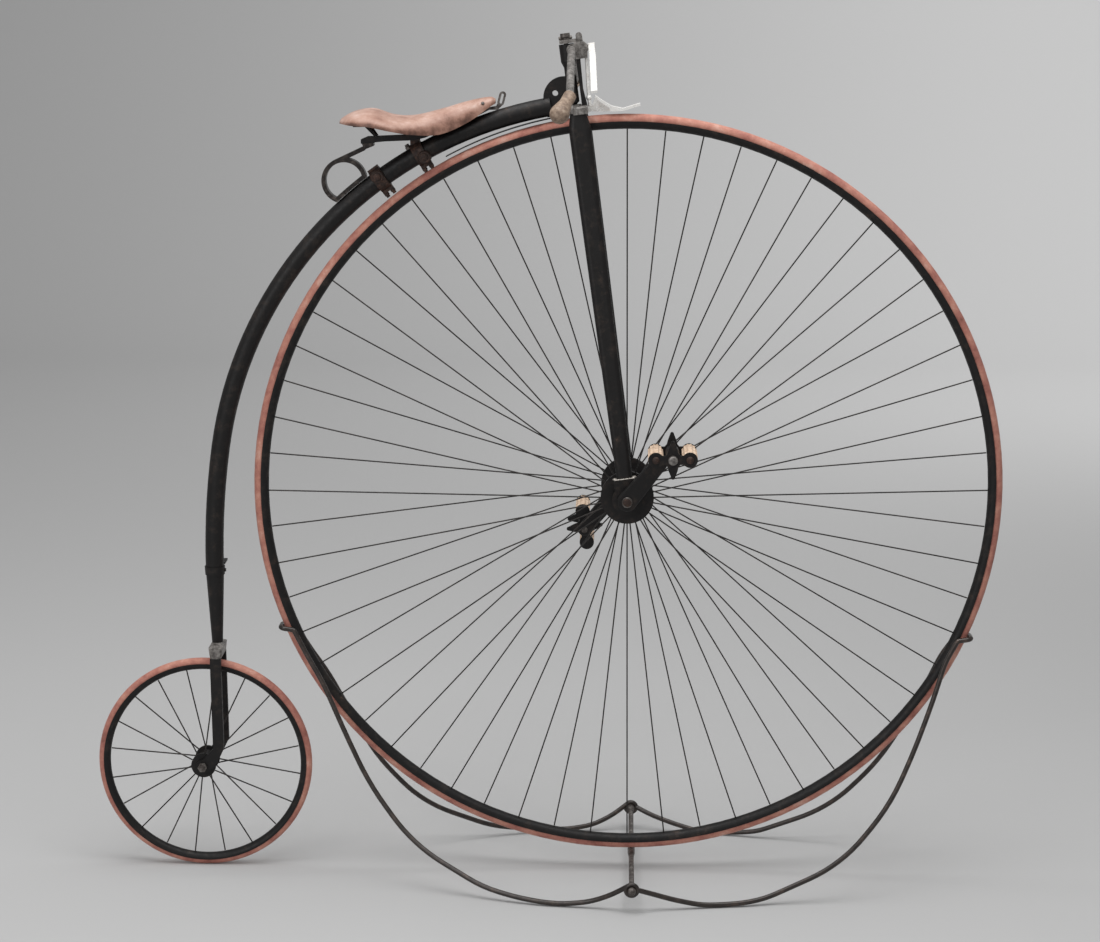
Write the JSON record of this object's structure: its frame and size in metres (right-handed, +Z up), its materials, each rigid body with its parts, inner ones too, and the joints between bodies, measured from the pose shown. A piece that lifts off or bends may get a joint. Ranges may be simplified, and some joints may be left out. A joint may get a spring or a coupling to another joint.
{
  "type": "high wheel bicycle in a wire display stand",
  "caption": "High wheel bicycle with a large driven front wheel, small rear wheel, leather saddle and spoon brake, standing in a bent wire display stand.",
  "frame": {"origin": "on the floor under the middle of the machine's length, in the plane of the wheels", "axes": "+X forward, +Y to the rider's left, +Z up"},
  "size_m": [1.7341, 0.669, 1.6144],
  "materials": {
    "black_enamel": "old black enamel, semi-gloss, chipped and worn to bare steel at edges",
    "red_tyre_rubber": "old red-orange solid rubber, dull and dusty",
    "nickel_plate": "aged nickel plate, satin with fine pitting",
    "worn_steel": "dark bare steel, worn bright in patches",
    "rusty_spring_steel": "brown rusted spring steel",
    "stand_iron": "dark brown blacked iron wire, satin",
    "saddle_leather": "old tan-pink leather, dry and creased",
    "cream_rubber": "aged cream rubber, ribbed",
    "grip_wood": "worn turned wood, beige brown"
  },
  "bodies": {
    "fork_and_stand": {"fork_blade_right": "black_enamel", "fork_blade_left": "black_enamel", "bearing_right": "black_enamel", "bearing_left": "black_enamel", "fork_crown": "worn_steel", "head_pillar": "black_enamel", "head_lug": "worn_steel", "adjusting_screw": "worn_steel", "lamp_bracket": "worn_steel", "handlebar_right": "worn_steel", "handlebar_left": "worn_steel", "grip_right": "grip_wood", "grip_left": "grip_wood", "brake_lever": "nickel_plate", "brake_rod": "nickel_plate", "brake_spoon": "nickel_plate", "mudguard": "black_enamel", "stand_wire_right": "stand_iron", "stand_wire_left": "stand_iron", "stand_crossbar": "stand_iron"},
    "front_wheel": {"front_tyre": "red_tyre_rubber", "front_rim": "black_enamel", "front_spokes": "worn_steel", "front_hub": "black_enamel", "front_axle": "worn_steel", "crank_right": "black_enamel", "crank_left": "black_enamel", "pedal_pin_right": "worn_steel", "pedal_pin_left": "worn_steel"},
    "right_pedal": {"pedal_right_cage": "black_enamel", "pedal_right_rubbers": "cream_rubber"},
    "left_pedal": {"pedal_left_cage": "black_enamel", "pedal_left_rubbers": "cream_rubber"},
    "backbone_frame": {"backbone": "black_enamel", "neck": "worn_steel", "step": "black_enamel", "rear_fork_crown": "black_enamel", "rear_fork_blade_right": "black_enamel", "rear_fork_blade_left": "black_enamel", "rear_axle": "worn_steel", "saddle_leather": "saddle_leather", "saddle_bar": "black_enamel", "saddle_cantle": "black_enamel", "nose_hook": "worn_steel", "saddle_spring": "rusty_spring_steel", "saddle_clamp": "worn_steel", "spring_clamp": "worn_steel"},
    "rear_wheel": {"rear_tyre": "red_tyre_rubber", "rear_rim": "black_enamel", "rear_spokes": "worn_steel", "rear_hub": "black_enamel"}
  },
  "joints": [
    {"name": "front_wheel_spin", "type": "hinge", "parent": "fork_and_stand", "child": "front_wheel", "pos_m": [0.15594, 0, 0.7548], "axis": [0, 1, 0], "continuous": true},
    {"name": "right_pedal_spin", "type": "hinge", "parent": "front_wheel", "child": "right_pedal", "pos_m": [0.23784, -0.17, 0.85576], "axis": [0, 1, 0], "continuous": true},
    {"name": "left_pedal_spin", "type": "hinge", "parent": "front_wheel", "child": "left_pedal", "pos_m": [0.07404, 0.17, 0.65384], "axis": [0, 1, 0], "continuous": true},
    {"name": "steering", "type": "hinge", "parent": "fork_and_stand", "child": "backbone_frame", "pos_m": [0.14999, 0, 0.75399], "axis": [-0.1357, 0, 0.9907], "range_deg": [-45, 45]},
    {"name": "rear_wheel_spin", "type": "hinge", "parent": "backbone_frame", "child": "rear_wheel", "pos_m": [-0.65914, 0, 0.208], "axis": [0, 1, 0], "continuous": true}
  ]
}
